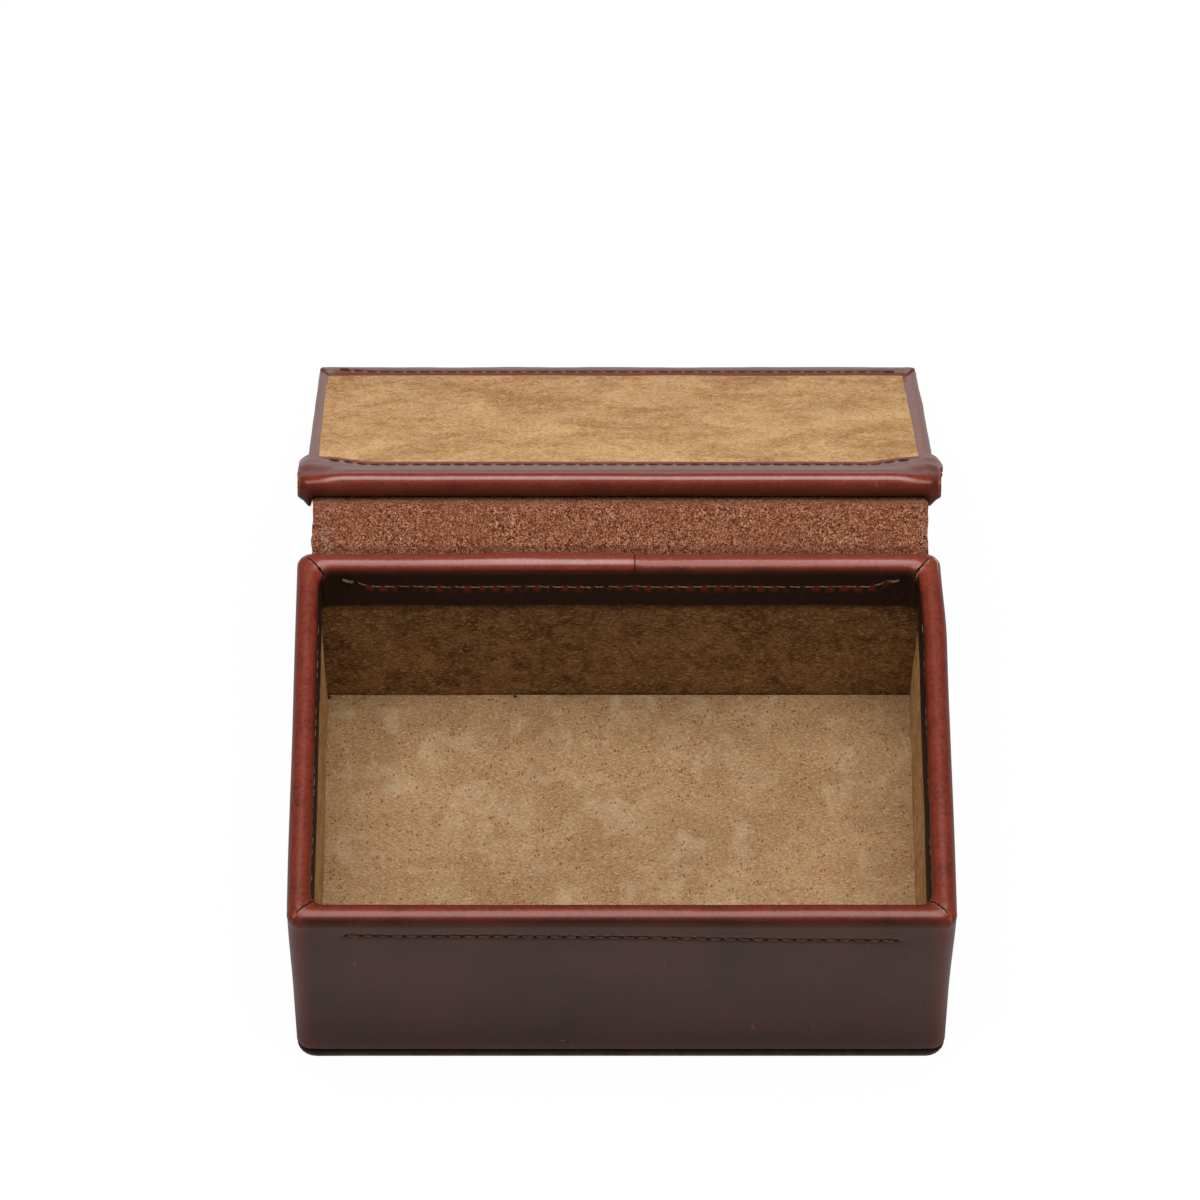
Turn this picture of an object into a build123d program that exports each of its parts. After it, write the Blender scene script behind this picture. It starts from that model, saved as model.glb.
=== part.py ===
# Leather-covered board box with a suede lining and a lift lid on a leather strip hinge.
# The lid is stored folded right back: it hangs on the hinge strip and its far edge rests on the table.
# Millimetres. +X to the right, the front wall faces -Y, +Z up. Origin: centre of the underside.
import os
from math import asin, atan2, cos, degrees, hypot, radians, sin, sqrt

from build123d import *

# ---- driving dimensions ----
box_width = 230
box_depth = 156
box_height = 91
board = 3.5            # stiff board of the walls and the base
leather = 1.75         # cover leather, and the hinge strip
suede = 1.5            # lining
floor_card_thick = 3
corner_radius = 5      # upright corners, outside
rim_radius = 3.4       # the rim is rolled almost to a half round
inside_corner = 1      # upright corners of the turn-in
turn_in = 25           # how far the cover comes down inside the walls
base_inset = 0.5       # the base leather stops just short of the wall cover
floor_gap = 0.4        # loose fit of the floor panel
cut_width = 0.4        # mitre cuts in the turn-in, and the butt seam
mitre_reach = 4.6      # the mitre cuts run this far into the rim from its inside corners
seam_x = 5             # butt seam of the wall cover, in the back wall

lid_width = 226
lid_length = 156
lid_thick = 10.5
lid_side_round = 1.2
lid_near_band = 19.7   # leather turn-ins on the inner face
lid_far_band = 15.4
lid_side_band = 4.5
near_ear = (233, 16)   # width and length of the folded leather at the hinge end
far_ear = (229, 11.5)  # and at the free end

hinge_width = 221
hinge_play = 0.1       # gap in the leather at each fold line
wall_fold_drop = 6     # fold line on the back wall, below the rim
wall_fold_out = 1.2    # fold lines stand this far off the wall and off the lid's edge
closed_gap = 0.3       # air between the closed lid and the rim
wall_leaf_bottom = 69
lid_leaf_length = 24
span_angle = 32.4      # the strip's slope where it leaves the box, lid folded back

stitch_pitch = 5
stitch_length = 3.6
thread = 0.9
thread_stand = 0.5
wall_row_height = 77.7
lid_near_row = 16.35   # from the lid's hinge end
lid_far_row = 145.75
front_stitches = 38
back_stitches = 40
side_stitches = 22
lid_stitches = 42

# ---- places worked out from them ----
back_face = box_depth / 2
inner_x = box_width / 2 - leather - board      # inner face of the side boards
inner_y = box_depth / 2 - leather - board
board_top = box_height - leather
wall_foot = leather + board                    # the walls stand on the base board
turn_in_foot = box_height - turn_in
wall_thick = board + 2 * leather
turned_width = box_width - 2 * wall_thick      # between the turn-ins
turned_depth = box_depth - 2 * wall_thick
mitre_length = (mitre_reach + inside_corner) * sqrt(2)
lined_width = 2 * (inner_x - suede)
lined_depth = 2 * (inner_y - suede)
half_leather = leather / 2
lid_roll = lid_thick / 2                       # the long edges are half rounds

wall_fold = Vector(0, back_face + wall_fold_out, box_height - wall_fold_drop)
span_length = wall_fold_drop + closed_gap + lid_thick + half_leather
span_way = Vector(0, cos(radians(span_angle)), sin(radians(span_angle)))
lid_fold = wall_fold + span_way * span_length

# The lid leans at the angle that lays the roll of its free end on the table.
run = lid_length - lid_roll + wall_fold_out
rise = half_leather + lid_roll
lid_slope = degrees(asin((lid_fold.Z - lid_roll) / hypot(run, rise)) + atan2(rise, run))
lid_along = Vector(0, cos(radians(lid_slope)), -sin(radians(lid_slope)))
lid_up = Vector(0, sin(radians(lid_slope)), cos(radians(lid_slope)))
lid_corner = lid_fold + lid_along * wall_fold_out + lid_up * half_leather
# Lid frame: x to the right, y from the hinge end to the free end, z from the outer face to the lining.
lid_profile = Plane(origin=lid_corner, x_dir=lid_along, z_dir=(1, 0, 0))


def lid_level(height, side=1):
    """Plane parallel to the lid, at a height above its outer face; side -1 looks outwards."""
    return Plane(origin=lid_corner + lid_up * height, x_dir=(side, 0, 0), z_dir=lid_up * side)


def save(built, label):
    built.part.label = label
    export_step(built.part, f"parts/{label}.step")


os.makedirs("parts", exist_ok=True)

# ---- base ----
with BuildPart() as base_cover:
    with BuildSketch():
        RectangleRounded(box_width - 2 * base_inset, box_depth - 2 * base_inset, corner_radius - base_inset)
    extrude(amount=leather)
    fillet(base_cover.faces().sort_by(Axis.Z)[0].edges(), base_inset)
save(base_cover, "base_cover")

with BuildPart() as base_board:
    with BuildSketch(Plane.XY.offset(leather)):
        RectangleRounded(box_width - 2 * leather, box_depth - 2 * leather, corner_radius - leather)
    extrude(amount=board)
save(base_board, "base_board")

# ---- wall boards: front and back run the full width, the sides stand between them ----
for side, name in ((-1, "front_board"), (1, "back_board")):
    with BuildPart() as long_board:
        with BuildSketch(Plane.XY.offset(wall_foot)):
            with Locations((0, side * (inner_y + board / 2))):
                Rectangle(box_width - 2 * leather, board)
        extrude(amount=board_top - wall_foot)
        upright = long_board.edges().filter_by(Axis.Z)
        outer = upright.filter_by(lambda edge: side * edge.center().Y > inner_y + board / 2)
        fillet(outer, corner_radius - leather)
    save(long_board, name)

for side, name in ((-1, "left_board"), (1, "right_board")):
    with BuildPart() as side_board:
        with BuildSketch(Plane.XY.offset(wall_foot)):
            with Locations((side * (inner_x + board / 2), 0)):
                Rectangle(board, 2 * inner_y)
        extrude(amount=board_top - wall_foot)
    save(side_board, name)

# ---- wall cover: outer skin, rolled rim and the turn-in that is slit at the corners ----
with BuildPart() as wall_cover:
    with BuildSketch(Plane.XY.offset(leather)):
        RectangleRounded(box_width, box_depth, corner_radius)
    extrude(amount=box_height - leather)
    with BuildSketch(Plane.XY.offset(turn_in_foot)):
        RectangleRounded(turned_width, turned_depth, inside_corner)
    extrude(amount=turn_in, mode=Mode.SUBTRACT)
    fillet(wall_cover.faces().sort_by(Axis.Z)[-1].outer_wire().edges(), rim_radius)
    fillet(wall_cover.faces().sort_by(Axis.Z)[-1].inner_wires()[0].edges(), rim_radius)
    with BuildSketch(Plane.XY.offset(leather)):
        RectangleRounded(box_width - 2 * leather, box_depth - 2 * leather, corner_radius - leather)
    extrude(amount=turn_in_foot - leather, mode=Mode.SUBTRACT)
    with BuildSketch(Plane.XY.offset(turn_in_foot)):
        RectangleRounded(box_width - 2 * leather, box_depth - 2 * leather, corner_radius - leather)
        Rectangle(2 * inner_x, 2 * inner_y, mode=Mode.SUBTRACT)
    extrude(amount=board_top - turn_in_foot, mode=Mode.SUBTRACT)
    mitre_middle = (mitre_reach - inside_corner) / 2
    for side_x in (-1, 1):
        for side_y in (-1, 1):
            mitre_x = side_x * (turned_width / 2 + mitre_middle)
            mitre_y = side_y * (turned_depth / 2 + mitre_middle)
            with BuildSketch(Plane.XY.offset(turn_in_foot)):
                with Locations((mitre_x, mitre_y)):
                    Rectangle(mitre_length, cut_width, rotation=45 * side_x * side_y)
            extrude(amount=turn_in, mode=Mode.SUBTRACT)
    with BuildSketch(Plane.XY.offset(leather)):
        with Locations((seam_x, box_depth / 2 - wall_thick / 2)):
            Rectangle(cut_width, 2 * wall_thick)
    extrude(amount=box_height, mode=Mode.SUBTRACT)
save(wall_cover, "wall_cover")

# ---- lining: four wall panels below the turn-in, and a loose floor panel ----
for side, name in ((-1, "front_lining"), (1, "back_lining")):
    with BuildPart() as long_lining:
        with BuildSketch(Plane.XY.offset(wall_foot)):
            with Locations((0, side * (inner_y - suede / 2))):
                Rectangle(2 * inner_x, suede)
        extrude(amount=turn_in_foot - wall_foot)
    save(long_lining, name)

for side, name in ((-1, "left_lining"), (1, "right_lining")):
    with BuildPart() as side_lining:
        with BuildSketch(Plane.XY.offset(wall_foot)):
            with Locations((side * (inner_x - suede / 2), 0)):
                Rectangle(suede, lined_depth)
        extrude(amount=turn_in_foot - wall_foot)
    save(side_lining, name)

with BuildPart() as floor_card:
    with BuildSketch(Plane.XY.offset(wall_foot)):
        Rectangle(lined_width - 2 * floor_gap, lined_depth - 2 * floor_gap)
    extrude(amount=floor_card_thick)
save(floor_card, "floor_card")

with BuildPart() as floor_lining:
    with BuildSketch(Plane.XY.offset(wall_foot + floor_card_thick)):
        Rectangle(lined_width - 2 * floor_gap, lined_depth - 2 * floor_gap)
    extrude(amount=suede)
    fillet(floor_lining.faces().sort_by(Axis.Z)[-1].edges(), suede / 3)
save(floor_lining, "floor_lining")

# ---- hinge strip: one strip of leather, divided at its two fold lines ----
with BuildPart() as hinge_wall_leaf:
    leaf_top = wall_fold.Z - half_leather - hinge_play
    with BuildSketch(Plane.XZ.offset(-back_face)):
        with Locations((0, (wall_leaf_bottom + leaf_top) / 2)):
            Rectangle(hinge_width, leaf_top - wall_leaf_bottom)
    extrude(amount=-leather)
save(hinge_wall_leaf, "hinge_wall_leaf")

with BuildPart() as hinge_span:
    with BuildSketch(Plane(origin=wall_fold, x_dir=span_way, z_dir=(1, 0, 0))):
        with Locations((span_length / 2, 0)):
            SlotCenterToCenter(span_length, leather)
    extrude(amount=hinge_width / 2, both=True)
save(hinge_span, "hinge_span")

with BuildPart() as hinge_lid_leaf:
    leaf_start = half_leather + hinge_play - wall_fold_out
    with BuildSketch(lid_level(0)):
        with Locations((0, (leaf_start + lid_leaf_length) / 2)):
            Rectangle(hinge_width, lid_leaf_length - leaf_start)
    extrude(amount=-leather)
save(hinge_lid_leaf, "hinge_lid_leaf")

# ---- lid ----
board_width = lid_width - 2 * leather
board_length = lid_length - 2 * leather
lining_width = lid_width - 2 * lid_side_band
lining_length = lid_length - lid_near_band - lid_far_band
lining_middle = lid_near_band + lining_length / 2

with BuildPart() as lid_board:
    with BuildSketch(lid_level(leather)):
        with Locations((0, lid_length / 2)):
            Rectangle(board_width, board_length)
    extrude(amount=lid_thick - 2 * leather)
save(lid_board, "lid_board")

with BuildPart() as lid_cover:
    for width, length, middle in (
        (lid_width, lid_length, lid_length / 2),
        (*near_ear, near_ear[1] / 2),
        (*far_ear, lid_length - far_ear[1] / 2),
    ):
        with BuildSketch(lid_profile):
            with Locations((middle, lid_thick / 2)):
                SlotOverall(length, lid_thick)
        extrude(amount=width / 2, both=True)
        ends = lid_cover.faces().filter_by(lambda face: abs(abs(face.center().X) - width / 2) < 0.01)
        fillet([edge for face in ends for edge in face.edges()], lid_side_round)
    with BuildSketch(lid_level(leather)):
        with Locations((0, lid_length / 2)):
            Rectangle(board_width, board_length)
    extrude(amount=lid_thick - 2 * leather, mode=Mode.SUBTRACT)
    with BuildSketch(lid_level(lid_thick - leather)):
        with Locations((0, lining_middle)):
            Rectangle(lining_width, lining_length)
    extrude(amount=leather, mode=Mode.SUBTRACT)
save(lid_cover, "lid_cover")

with BuildPart() as lid_lining:
    with BuildSketch(lid_level(lid_thick - leather)):
        with Locations((0, lining_middle)):
            Rectangle(lining_width, lining_length)
    extrude(amount=suede)
    fillet(lid_lining.faces().sort_by(Axis(lid_corner, lid_up))[-1].edges(), suede / 3)
save(lid_lining, "lid_lining")


# ---- saddle stitching: each thread shows on both faces of what it goes through ----
def row(count, across):
    """Centres of a straight row of stitches."""
    return [((i - (count - 1) / 2) * stitch_pitch, across) for i in range(count)]


def stitching(label, faces, count, across):
    """Stitches of one seam, standing on each of its faces."""
    with BuildPart() as seam:
        for face in faces:
            with BuildSketch(face):
                with Locations(*row(count, across)):
                    SlotOverall(stitch_length, thread)
            extrude(amount=thread_stand)
    save(seam, label)


def upright(normal, distance):
    """Plane of a wall face; its local y is up."""
    across = Vector(0, 0, 1).cross(Vector(*normal))
    return Plane(origin=Vector(*normal) * distance, x_dir=across, z_dir=normal)


stitching(
    "front_stitching",
    (upright((0, -1, 0), back_face), upright((0, 1, 0), -turned_depth / 2)),
    front_stitches,
    wall_row_height,
)
stitching(
    "back_stitching",
    (upright((0, 1, 0), back_face + leather), upright((0, -1, 0), -turned_depth / 2)),
    back_stitches,
    wall_row_height,
)
stitching(
    "left_stitching",
    (upright((-1, 0, 0), box_width / 2), upright((1, 0, 0), -turned_width / 2)),
    side_stitches,
    wall_row_height,
)
stitching(
    "right_stitching",
    (upright((1, 0, 0), box_width / 2), upright((-1, 0, 0), -turned_width / 2)),
    side_stitches,
    wall_row_height,
)
stitching(
    "lid_back_stitching",
    (lid_level(lid_thick), lid_level(-leather, side=-1)),
    lid_stitches,
    lid_near_row,
)
stitching(
    "lid_front_stitching",
    (lid_level(lid_thick), lid_level(0, side=-1)),
    lid_stitches,
    lid_far_row,
)
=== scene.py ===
import math
import random

import bmesh
import bpy
from mathutils import Matrix, Vector, noise


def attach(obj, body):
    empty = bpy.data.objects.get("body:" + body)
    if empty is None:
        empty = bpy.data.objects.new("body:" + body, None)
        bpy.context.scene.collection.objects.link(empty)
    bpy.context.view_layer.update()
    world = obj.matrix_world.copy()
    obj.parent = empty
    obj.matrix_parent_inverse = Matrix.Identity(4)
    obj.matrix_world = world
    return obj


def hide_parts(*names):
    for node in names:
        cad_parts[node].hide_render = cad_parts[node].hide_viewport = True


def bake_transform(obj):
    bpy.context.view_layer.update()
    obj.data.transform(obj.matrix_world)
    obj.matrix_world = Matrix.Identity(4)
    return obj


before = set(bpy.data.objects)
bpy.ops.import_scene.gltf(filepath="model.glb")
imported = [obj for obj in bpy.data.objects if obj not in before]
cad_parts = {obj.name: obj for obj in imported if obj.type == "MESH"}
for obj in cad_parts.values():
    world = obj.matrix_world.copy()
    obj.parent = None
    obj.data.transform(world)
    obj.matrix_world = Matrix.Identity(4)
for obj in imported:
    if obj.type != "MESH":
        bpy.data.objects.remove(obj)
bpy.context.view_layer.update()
mm = 0.001
print("frame loaded:", len(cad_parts), "nodes")


# small modelling helpers
def selectOnly(*pieces):
    # leaves edit mode and selects these pieces, the first one active
    if bpy.context.object and bpy.context.object.mode == "EDIT":
        bpy.ops.object.mode_set(mode="OBJECT")
    bpy.ops.object.select_all(action="DESELECT")
    for piece in pieces:
        piece.select_set(True)
    if pieces:
        bpy.context.view_layer.objects.active = pieces[0]


def openMesh(piece, selectMode="EDGE"):
    selectOnly(piece)
    bpy.ops.object.mode_set(mode="EDIT")
    bpy.ops.mesh.select_mode(type=selectMode)


def closeMesh():
    bpy.ops.object.mode_set(mode="OBJECT")


def selectWhere(kind, test):
    # selects only these verts, edges or faces of the mesh in edit mode
    bpy.ops.mesh.select_all(action="DESELECT")
    mesh = bmesh.from_edit_mesh(bpy.context.object.data)
    for part in getattr(mesh, kind):
        if test(part):
            part.select_set(True)
    bmesh.update_edit_mesh(bpy.context.object.data)


def middle(edge):
    return (edge.verts[0].co + edge.verts[1].co) / 2 / mm


def climbs(edge):
    # how far an edge rises, in millimetres
    return abs(edge.verts[0].co.z - edge.verts[1].co.z) / mm


def roundOff(width, segments=3):
    bpy.ops.mesh.bevel(offset=width * mm, segments=segments, affect="EDGES")


def sliceAt(axis, places):
    # straight cuts across the whole mesh in edit mode
    normal = [0, 0, 0]
    normal[axis] = 1
    for place in places:
        point = [0, 0, 0]
        point[axis] = place * mm
        bpy.ops.mesh.select_all(action="SELECT")
        bpy.ops.mesh.bisect(plane_co=point, plane_no=normal, threshold=1e-6)


def pull(x=0, y=0, z=0):
    # extrudes what is selected and moves it
    bpy.ops.mesh.extrude_region_move(TRANSFORM_OT_translate={"value": (x * mm, y * mm, z * mm)})


def thicken(piece, thick, offset, backSlot, edgeSlot):
    # gives a sheet its thickness, and its back and cut edges their own materials
    selectOnly(piece)
    leaf = piece.modifiers.new("Solidify", "SOLIDIFY")
    leaf.thickness, leaf.offset = thick * mm, offset
    leaf.material_offset, leaf.material_offset_rim = backSlot, edgeSlot
    bpy.ops.object.modifier_apply(modifier=leaf.name)


def smooth(piece, angle=40):
    selectOnly(piece)
    bpy.ops.object.shade_smooth_by_angle(angle=math.radians(angle))


def newCube(name, size, centre):
    selectOnly()
    bpy.ops.mesh.primitive_cube_add(size=1, location=[v * mm for v in centre], scale=[v * mm for v in size])
    piece = bpy.context.object
    piece.name = name
    bpy.ops.object.transform_apply()
    return piece


def newSheet(name, size, centre, turn=0):
    # a flat sheet, turned about x
    selectOnly()
    bpy.ops.mesh.primitive_plane_add(size=1, location=[v * mm for v in centre], rotation=(turn, 0, 0))
    piece = bpy.context.object
    piece.name = name
    piece.scale = (size[0] * mm, size[1] * mm, 1)
    bpy.ops.object.transform_apply()
    return piece


def newPanel(name, size, centre, edge, cell):
    # a flat block with rounded edges, cut into cells so that its face can be shaped
    piece = newCube(name, size, centre)
    openMesh(piece)
    bpy.ops.mesh.select_all(action="SELECT")
    roundOff(edge)
    for axis in range(3):
        half = size[axis] / 2 - 1
        count = int(size[axis] / cell)
        if count > 1:
            sliceAt(axis, [centre[axis] + half * (2 * n / count - 1) for n in range(count + 1)])
    closeMesh()
    return piece


def paint(piece, *materials):
    for material in materials:
        piece.data.materials.append(material)


def handOver(piece, slot, body, *nodes):
    # the finished piece stands in for these nodes of the frame
    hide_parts(*nodes)
    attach(piece, body)


def reshape(piece, move):
    # soft hand-worked unevenness: move gives (shift, push along the normal) for a place in millimetres
    normals = [vertex.normal.copy() for vertex in piece.data.vertices]
    for vertex, normal in zip(piece.data.vertices, normals):
        shift, push = move(vertex.co / mm, normal)
        vertex.co += (Vector(shift) + normal * push) * mm
    piece.data.update()


def wander(a, b=0.0, c=0.0, size=40.0, seed=0.0):
    # slow wandering value from -1 to 1
    return noise.noise(Vector((a / size + seed, b / size - seed, c / size + 2 * seed)))


def bellAt(value, centre, width):
    return math.exp(-(((value - centre) / width) ** 2))


# shading
class Wire:
    # one output socket; arithmetic on wires and numbers adds Math nodes
    def __init__(self, tree, socket=None):
        self.tree = tree
        self.socket = socket

    def node(self, kind, settings, sockets, output=0):
        made = self.tree.nodes.new("ShaderNode" + kind)
        for name, value in settings.items():
            if name == "stops":
                while len(made.color_ramp.elements) < len(value):
                    made.color_ramp.elements.new(1)
                for element, (place, colour) in zip(made.color_ramp.elements, value):
                    element.position, element.color = place, colour
            else:
                setattr(made, name, value)
        for name, value in sockets.items():
            if isinstance(value, Wire):
                self.tree.links.new(value.socket, made.inputs[name])
            else:
                made.inputs[name].default_value = value
        return Wire(self.tree, made.outputs[output] if made.outputs else None)

    def maths(self, operation, first, second=0.0):
        return self.node("Math", {"operation": operation}, {0: first, 1: second})

    def __add__(self, other):
        return self.maths("ADD", self, other)

    __radd__ = __add__

    def __sub__(self, other):
        return self.maths("SUBTRACT", self, other)

    def __rsub__(self, other):
        return self.maths("SUBTRACT", other, self)

    def __mul__(self, other):
        return self.maths("MULTIPLY", self, other)

    __rmul__ = __mul__

    def __abs__(self):
        return self.maths("ABSOLUTE", self)

    def __mod__(self, other):
        return self.maths("FLOORED_MODULO", self, other)


def rgb(red, green, blue):
    # screen colour, 0 to 255, as the linear colour that a socket takes
    parts = [v / 255 for v in (red, green, blue)]
    return tuple(v / 12.92 if v <= 0.04045 else ((v + 0.055) / 1.055) ** 2.4 for v in parts) + (1,)


def startMaterial(name):
    material = bpy.data.materials.new(name)
    material.use_nodes = True
    material.node_tree.nodes.clear()
    return material, Wire(material.node_tree)


def finishMaterial(shade, colour, rough, normal, gloss=0.5, more=()):
    surface = shade.node("BsdfPrincipled", {}, {"Base Color": colour, "Roughness": rough, "Normal": normal,
                                                "Specular IOR Level": gloss, **dict(more)})
    shade.node("OutputMaterial", {}, {"Surface": surface})


def fade(value, low, high):
    # 0 at low, 1 at high, soft at both ends; value is a number or a wire
    if isinstance(value, Wire):
        return value.node("MapRange", {"interpolation_type": "SMOOTHSTEP"},
                          {"Value": value, "From Min": low, "From Max": high})
    part = min(max((value - low) / (high - low), 0), 1)
    return part * part * (3 - 2 * part)


def bump(shade, height, distance, strength=1.0, under=None):
    sockets = {"Height": height, "Distance": distance * mm, "Strength": strength}
    if under:
        sockets["Normal"] = under
    return shade.node("Bump", {}, sockets)


def mixColour(factor, first, second):
    return factor.node("Mix", {"data_type": "RGBA"}, {0: factor, 6: first, 7: second}, output=2)


def layColours(colour, *layers):
    # each layer is (how much of it shows, its colour), laid over what is below
    for amount, tone in layers:
        colour = mixColour(amount, colour, tone)
    return colour


def cloud(place, size, detail=3.0, rough=0.5, distortion=0.0):
    # noise whose features are about this many millimetres across
    return place.node("TexNoise", {}, {"Vector": place, "Scale": 1 / (size * mm), "Detail": detail,
                                       "Roughness": rough, "Distortion": distortion})


def stretched(place, scale, turn=(0, 0, 0)):
    return place.node("Mapping", {}, {"Vector": place, "Scale": scale, "Rotation": turn})


def objectPlace(shade):
    return shade.node("TexCoord", {}, {}, output=3)


def parts(place):
    # the three coordinates in millimetres
    return [place.node("SeparateXYZ", {}, {"Vector": place}, output=n) * (1 / mm) for n in range(3)]


# where the lid lies
lidPlace = {"corner": (0, 95.6076, 94.4155), "slope": 38.2311}
lidMatrix = Matrix.Translation(Vector(lidPlace["corner"]) * mm) @ Matrix.Rotation(
    -math.radians(lidPlace["slope"]), 4, "X")


def layOnLid(piece):
    # from the flat lid frame (x, hinge end to free end, outer face to lining) to its place
    selectOnly(piece)
    piece.matrix_world = lidMatrix
    bpy.ops.object.transform_apply()


def lidCoordinates(shade):
    # object coordinates turned back into the flat lid frame
    return shade.node("Mapping", {"vector_type": "TEXTURE"}, {
        "Vector": objectPlace(shade), "Location": Vector(lidPlace["corner"]) * mm,
        "Rotation": (-math.radians(lidPlace["slope"]), 0, 0)})


# leather
leatherTones = {
    "deep": rgb(57, 22, 16), "warm": rgb(80, 32, 23), "worn": rgb(124, 47, 32), "mark": rgb(150, 62, 42),
    "shaded": rgb(14, 5, 3), "raw": rgb(142, 92, 58), "hole": rgb(14, 5, 4), "pinched": rgb(142, 48, 32),
    "roughness": 0.34, "coatRoughness": 0.24, "grain": 0.05, "dents": 0.08, "sheenTint": (1, 0.7, 0.62, 1),
    "pore": 0.75, "bigClouds": 42, "patches": 9, "fine": 1.3, "rubs": 2.4, "creases": 3.5,
}
awayFromHere = 300  # moves a seam off the faces that it isn't on
stitchPitch = 5


def seamMasks(across, along, ends, spread):
    # the pressed line of a seam, and the awl holes between its stitches
    inside = fade(abs(along), ends + 1.4, ends + 0.4)
    line = fade(abs(across), 0.85, 0.3) * inside
    toHole = abs((along + stitchPitch / 2) % stitchPitch - stitchPitch / 2)
    holes = fade(toHole, 1.1, 0.6) * fade(abs(across), 0.9, 0.5) * inside
    below = fade(abs(across + 0.3 * spread), 1.4 * spread, 0.4)
    bridges = fade(toHole, 0.6 + 0.7 * spread, 0.3) * below * inside
    return line, holes, bridges


def nowhere(x, y, z):
    return 0 * x


def leather(name, place, wear, seams, polish, shadeWhere=nowhere, marks=(), markZone=nowhere, rawness=nowhere):
    # smooth waxed leather: wear is where it has paled to red, polish where it shines, darkening where shade
    # is painted on;
    # seams are (across, along, ends, how red the leather is pinched, how far the red spreads)
    material, shade = startMaterial(name)
    place = place(shade)
    x, y, z = parts(place)
    big = cloud(place, leatherTones["bigClouds"], 3, 0.5, 0.4)
    patches = cloud(place, leatherTones["patches"], 4, 0.6)
    fine = cloud(place, leatherTones["fine"], 4, 0.65)
    depth = fade(big * 0.7 + patches * 0.3, 0.35, 0.65)
    worn, paintedShade = wear(x, y, z), shadeWhere(x, y, z)
    rubbed = cloud(stretched(place, (1, 1, 0.18)), leatherTones["rubs"], 3, 0.6, 0.5)
    colour = layColours(
        leatherTones["deep"], (depth, leatherTones["warm"]),
        (worn * fade(patches * 0.6 + fine * 0.4, 0.1, 0.6), leatherTones["worn"]),
        # painted shade, laid where the darkening function says
        (paintedShade, leatherTones["shaded"]),
        (fade(fine, 0.5, 0.68) * worn * 0.3, leatherTones["mark"]),
        (fade(fine, 0.5, 0.34) * 0.25, leatherTones["deep"]),
        (fade(rubbed, 0.64, 0.8) * 0.3, leatherTones["mark"]),
        (rawness(x, y, z) * fade(fine, 0.35, 0.6), leatherTones["raw"]))
    for centre, size in marks:
        across = abs(x - centre[0] + (fine - 0.5) * 2) * (1 / size[0])
        spot = across + abs(z - centre[1] + (patches - 0.5) * 3) * (1 / size[1])
        spot = fade(spot, 1.0, 0.3) * markZone(x, y, z)
        colour = mixColour(spot * 0.8, colour, leatherTones["mark"])
    pressed = None
    for across, along, ends, redness, spread in seams(x, y, z):
        line, holes, bridges = seamMasks(across, along, ends, spread)
        # the pressed line and the awl holes get painted shade; the pinched leather between stitches is redder
        colour = layColours(
            colour, (line * (0.85 - redness * 0.7), leatherTones["shaded"]),
            (holes * (1 - redness), leatherTones["hole"]),
            (bridges * redness * fade(patches, 0.38, 0.5), leatherTones["pinched"]))
        sunk = line * (1 - redness * 0.5) + holes * (1 - 2 * redness)
        pressed = sunk if pressed is None else pressed + sunk
    pores = place.node("TexVoronoi", {}, {"Vector": place, "Scale": 1 / (leatherTones["pore"] * mm)})
    crease = cloud(stretched(place, (0.5, 1, 1)), leatherTones["creases"], 5, 0.7, 1.2)
    height = pores * 0.5 + fine * 0.35 + crease * 0.6
    dents = bump(shade, patches, leatherTones["dents"], 0.7)
    normal = bump(shade, height, leatherTones["grain"], 0.8, dents)
    matt = paintedShade * 0.9
    if pressed is not None:
        normal = bump(shade, pressed * -1, 0.25, 1.0, normal)
        matt = matt.maths("MAXIMUM", matt, fade(pressed, 0.1, 0.7))
    waxed = fade(patches * 0.6 + fine * 0.4, 0.35, 0.65) * 0.35 + fade(big, 0.3, 0.7) * 0.15 + 0.75
    rough = (fine - 0.5) * 0.2 + (patches - 0.5) * 0.15 + matt * 0.5 + leatherTones["roughness"]
    finishMaterial(shade, colour, rough, normal, 0.45, {
        "Coat Weight": waxed * (1 - matt * 0.95) * polish(x, y, z),
        "Coat Roughness": leatherTones["coatRoughness"], "Specular Tint": leatherTones["sheenTint"]})
    return material


wallSize = (230, 156)
buttSeam = 5  # where the cover's ends meet in the back wall
boxSeams = {"height": 77.7, "frontHeight": 79.2, "front": 95, "back": 98.5, "side": 55, "slope": 1.55,
            "climb": 5.4, "climbFrom": 88}


def frontRow(x):
    # the outside row on the front runs down a little to the right; x is a number or a wire
    return boxSeams["frontHeight"] - x * (boxSeams["slope"] / boxSeams["front"])


def backClimb(x):
    # the inner back row climbs at its ends
    return fade(abs(x), boxSeams["climbFrom"], boxSeams["back"] + 1) * boxSeams["climb"]


def boxInside(x, y):
    return fade(abs(x), 111.2, 110.4) * fade(abs(y), 74.2, 73.4)


def boxWear(x, y, z):
    # the rim is rubbed red, least on the front's outer side, and so are the upright corners and the foot
    inside = boxInside(x, y)
    onFront = fade(y, -74, -77)
    low = inside * (3.4 - fade(abs(x), 106, 107) * 1.4) + onFront * 4 + 84.6
    rim = fade(z - low, 0, 3.0) * (0.8 + fade(y, -60, -50) * 0.1 + fade(y, 60, 74) * 1.3)
    corner = fade(abs(x) + abs(y), 185.5, 190.5) * 0.7
    foot = fade(abs(z - 7), 3, 0.6) * 0.4
    upper = fade(abs(z - 82), 3.5, 1) * 0.25 * onFront
    return rim + (corner + foot + upper) * (1 - inside)


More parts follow.
